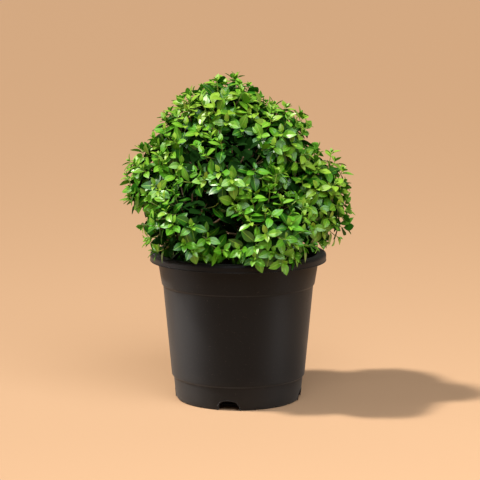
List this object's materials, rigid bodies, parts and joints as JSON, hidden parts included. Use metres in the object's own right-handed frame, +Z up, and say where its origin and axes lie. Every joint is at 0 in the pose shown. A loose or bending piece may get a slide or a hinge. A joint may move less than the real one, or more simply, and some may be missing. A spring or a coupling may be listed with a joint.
{
  "type": "potted orange jasmine ball",
  "caption": "Dense rounded evergreen shrub with small glossy leaves in a round black nursery pot with a rolled rim and arched drain openings.",
  "frame": {"origin": "centre of the pot's flat underside, on the ground", "axes": "+Z up through the crown; -Y is the front, +X the right-hand side seen from the front"},
  "size_m": [0.3271, 0.3143, 0.4628],
  "materials": {
    "pot_plastic": "satin",
    "potting_soil": "matte",
    "bark": "matte",
    "leaf_green": "satin"
  },
  "bodies": {
    "root": {"pot": "pot_plastic", "soil": "potting_soil", "trunk": "bark", "bough_shoulder_left": "bark", "bough_shoulder_right": "bark", "bough_shoulder_front": "bark", "bough_shoulder_back": "bark", "bough_left": "bark", "bough_right": "bark", "bough_front_left": "bark", "bough_front_right": "bark", "bough_back_left": "bark", "bough_back_right": "bark", "foliage_peak": "leaf_green", "foliage_shoulder_left": "leaf_green", "foliage_shoulder_right": "leaf_green", "foliage_shoulder_front": "leaf_green", "foliage_shoulder_back": "leaf_green", "foliage_left": "leaf_green", "foliage_right": "leaf_green", "foliage_front_left": "leaf_green", "foliage_front_right": "leaf_green", "foliage_back_left": "leaf_green", "foliage_back_right": "leaf_green"}
  },
  "joints": []
}
